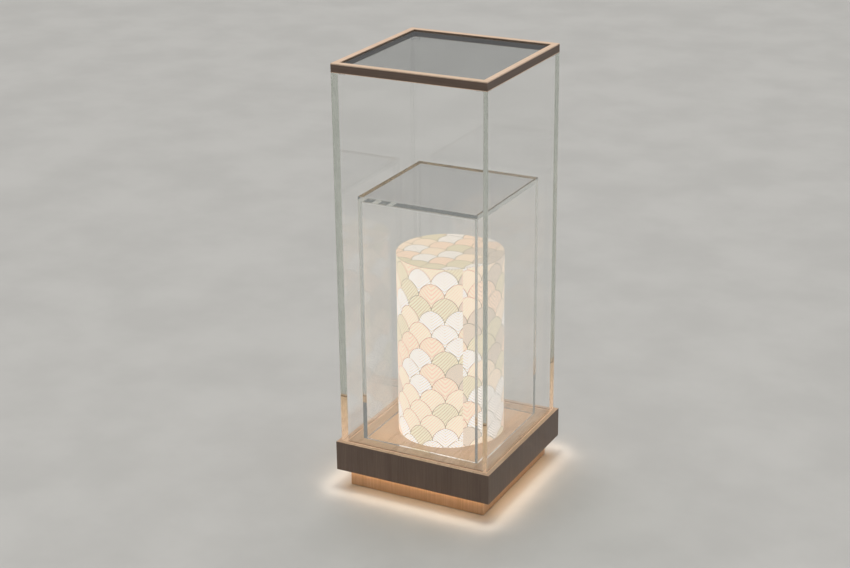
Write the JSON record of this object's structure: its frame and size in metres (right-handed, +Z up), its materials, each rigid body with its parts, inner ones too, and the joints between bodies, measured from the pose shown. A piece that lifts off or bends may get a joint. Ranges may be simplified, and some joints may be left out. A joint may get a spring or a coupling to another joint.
{
  "type": "illuminated display case",
  "caption": "Tall clear display case on a recessed wooden plinth, with a framed lift-off lid and an inner clear box over a glowing patterned drum lantern.",
  "frame": {"origin": "on the floor, under the centre of the case", "axes": "+Z up the case, -Y the front, +Y the rear with the cable gland and the access panel, +X to the right"},
  "size_m": [0.6, 0.6, 1.555],
  "materials": {
    "aluminium": "satin anodised",
    "black_plastic": "moulded, fine texture",
    "cube_acrylic": "polished clear sheet with a faint grey-green tint",
    "dark_veneer": "satin dark brown veneer with fine straight grain",
    "driver_case": "white moulded case",
    "foot_steel": "zinc-plated stem on a dark moulded pad",
    "hood_acrylic": "polished clear sheet with a faint grey-green tint",
    "lantern_print": "translucent sheet printed with overlapping fan shapes, lit from inside",
    "lead_sleeve": "flexible sleeve",
    "led_board": "white circuit strip, lit warm white",
    "led_lens": "opal diffuser, lit warm white",
    "lid_pane": "polished clear sheet, slightly grey",
    "light_veneer": "satin rosy tan veneer with fine straight grain",
    "locator_acrylic": "polished clear blocks",
    "plinth_veneer": "satin amber-brown veneer with straight grain",
    "plywood": "plywood with a sanded face",
    "ring_acrylic": "opal acrylic hoop",
    "rocker_plastic": "glossy moulding",
    "screw_steel": "zinc-plated steel",
    "soft_seal": "soft extruded strip in the tan of the deck",
    "softwood": "planed softwood, unfinished"
  },
  "bodies": {
    "base": {"access_lintel": "plinth_veneer", "cable_gland": "black_plastic", "catch_magnets": "black_plastic", "column_cap": "aluminium", "column_lead": "lead_sleeve", "column_strips": "led_board", "corner_blocks": "softwood", "deck_bearers": "softwood", "deck_panel": "light_veneer", "driver_screws": "screw_steel", "fascia_front": "dark_veneer", "fascia_left": "dark_veneer", "fascia_rear": "dark_veneer", "fascia_right": "dark_veneer", "foot_inserts": "screw_steel", "hood_seal": "soft_seal", "lantern_base": "aluminium", "lantern_screws": "screw_steel", "led_channels": "aluminium", "led_diffusers": "led_lens", "led_driver": "driver_case", "led_strips": "led_board", "light_column": "aluminium", "plinth_front": "plinth_veneer", "plinth_left": "plinth_veneer", "plinth_rear": "plinth_veneer", "plinth_right": "plinth_veneer", "ring_lead": "lead_sleeve", "slab_screws": "screw_steel", "soffit_panel": "plywood", "switch_housing": "black_plastic", "switch_lead": "lead_sleeve"},
    "hood": {"hood_pane_front": "hood_acrylic", "hood_pane_right": "hood_acrylic", "hood_pane_rear": "hood_acrylic", "hood_pane_left": "hood_acrylic"},
    "lid": {"frame_rail_front": "dark_veneer", "frame_rail_right": "dark_veneer", "frame_rail_rear": "dark_veneer", "frame_rail_left": "dark_veneer", "frame_caps": "light_veneer", "top_pane": "lid_pane", "lid_seal": "soft_seal", "lid_locators": "locator_acrylic"},
    "inner_box": {"cube_pane_front": "cube_acrylic", "cube_pane_right": "cube_acrylic", "cube_pane_rear": "cube_acrylic", "cube_pane_left": "cube_acrylic", "cube_shelf": "cube_acrylic"},
    "shade": {"shade_drum": "lantern_print", "shade_disc": "lantern_print", "shade_ring_top": "ring_acrylic", "shade_ring_bottom": "ring_acrylic"},
    "rear_panel": {"access_panel": "plinth_veneer", "catch_plates": "screw_steel"},
    "rocker": {"switch_rocker": "rocker_plastic"},
    "foot_front_left": {"levelling_foot_front_left": "foot_steel"},
    "foot_front_right": {"levelling_foot_front_right": "foot_steel"},
    "foot_rear_left": {"levelling_foot_rear_left": "foot_steel"},
    "foot_rear_right": {"levelling_foot_rear_right": "foot_steel"}
  },
  "joints": [
    {"name": "hood_lift", "type": "slide", "parent": "base", "child": "hood", "axis": [0, 0, 1], "range_m": [0, 0.92]},
    {"name": "lid_lift", "type": "slide", "parent": "hood", "child": "lid", "axis": [0, 0, 1], "range_m": [0, 0.25]},
    {"name": "inner_box_lift", "type": "slide", "parent": "base", "child": "inner_box", "axis": [0, 0, 1], "range_m": [0, 0.42]},
    {"name": "shade_lift", "type": "slide", "parent": "base", "child": "shade", "axis": [0, 0, 1], "range_m": [0, 0.2]},
    {"name": "access_panel_pull", "type": "slide", "parent": "base", "child": "rear_panel", "axis": [0, 1, 0], "range_m": [0, 0.06]},
    {"name": "switch_rock", "type": "hinge", "parent": "base", "child": "rocker", "pos_m": [-0.1, 0.263, 0.036], "axis": [0, 0, 1], "range_deg": [0, 16]},
    {"name": "foot_front_left_screw", "type": "slide", "parent": "base", "child": "foot_front_left", "axis": [0, 0, -1], "range_m": [0, 0.015]},
    {"name": "foot_front_right_screw", "type": "slide", "parent": "base", "child": "foot_front_right", "axis": [0, 0, -1], "range_m": [0, 0.015]},
    {"name": "foot_rear_left_screw", "type": "slide", "parent": "base", "child": "foot_rear_left", "axis": [0, 0, -1], "range_m": [0, 0.015]},
    {"name": "foot_rear_right_screw", "type": "slide", "parent": "base", "child": "foot_rear_right", "axis": [0, 0, -1], "range_m": [0, 0.015]}
  ]
}
